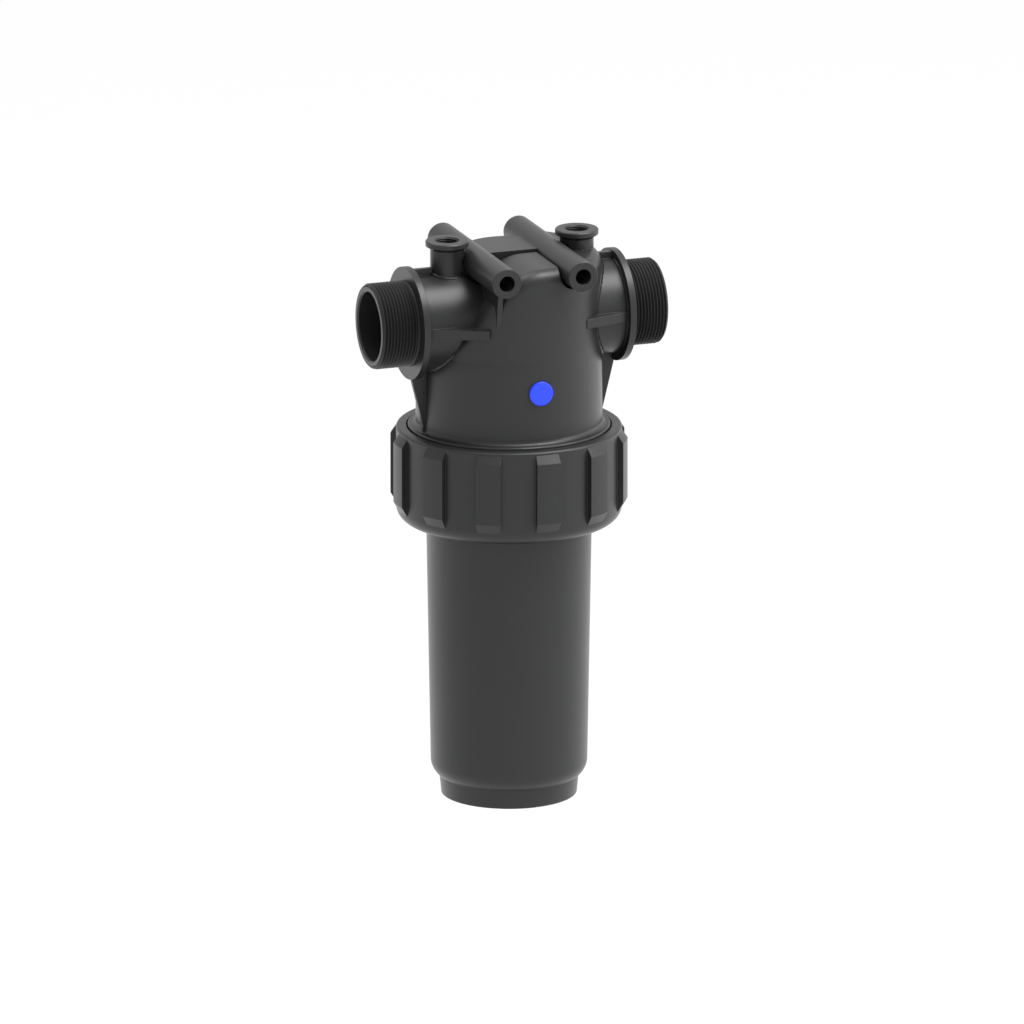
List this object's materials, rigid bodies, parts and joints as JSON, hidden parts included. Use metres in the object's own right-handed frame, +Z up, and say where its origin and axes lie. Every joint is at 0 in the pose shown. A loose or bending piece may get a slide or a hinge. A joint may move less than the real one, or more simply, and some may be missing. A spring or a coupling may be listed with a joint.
{
  "type": "inline mesh filter",
  "caption": "Inline mesh filter with a moulded head, threaded side ports, bolt tubes on top, a ring nut with grips and a long removable bowl around a mesh screen.",
  "frame": {"origin": "Centre of the underside of the bowl's foot.", "axes": "+Z up along the bowl's axis, +X out of the outlet port, -Y to the front with the indicator cap."},
  "size_m": [0.2086, 0.164, 0.3998],
  "materials": {
    "housing": "satin dark grey glass-filled polypropylene",
    "blue_plastic": "satin blue polypropylene",
    "slip_plastic": "plain white low-friction plastic",
    "seal_rubber": "black nitrile rubber",
    "mesh_steel": "woven stainless wire"
  },
  "bodies": {
    "head": {"filter_head": "housing", "indicator_cap": "blue_plastic"},
    "screen": {"screen_top_ring": "blue_plastic", "screen_bottom_cap": "blue_plastic", "screen_cage": "blue_plastic", "screen_mesh": "mesh_steel", "screen_seal": "seal_rubber"},
    "bowl_set": {"bowl": "housing", "bowl_seal": "seal_rubber", "slip_ring": "slip_plastic"},
    "nut": {"ring_nut": "housing"}
  },
  "joints": [
    {"name": "screen_pull", "type": "slide", "parent": "head", "child": "screen", "axis": [0, 0, -1], "range_m": [0, 0.1]},
    {"name": "bowl_travel", "type": "slide", "parent": "screen", "child": "bowl_set", "axis": [0, 0, -1], "range_m": [0, 0.0251]},
    {"name": "nut_turn", "type": "hinge", "parent": "bowl_set", "child": "nut", "pos_m": [0, 0, 0.23], "axis": [0, 0, -1], "range_deg": [0, 1500]}
  ],
  "couplings": [
    {"joint": "bowl_travel", "follows": "nut_turn", "m_per_rad": 0.00095493}
  ]
}
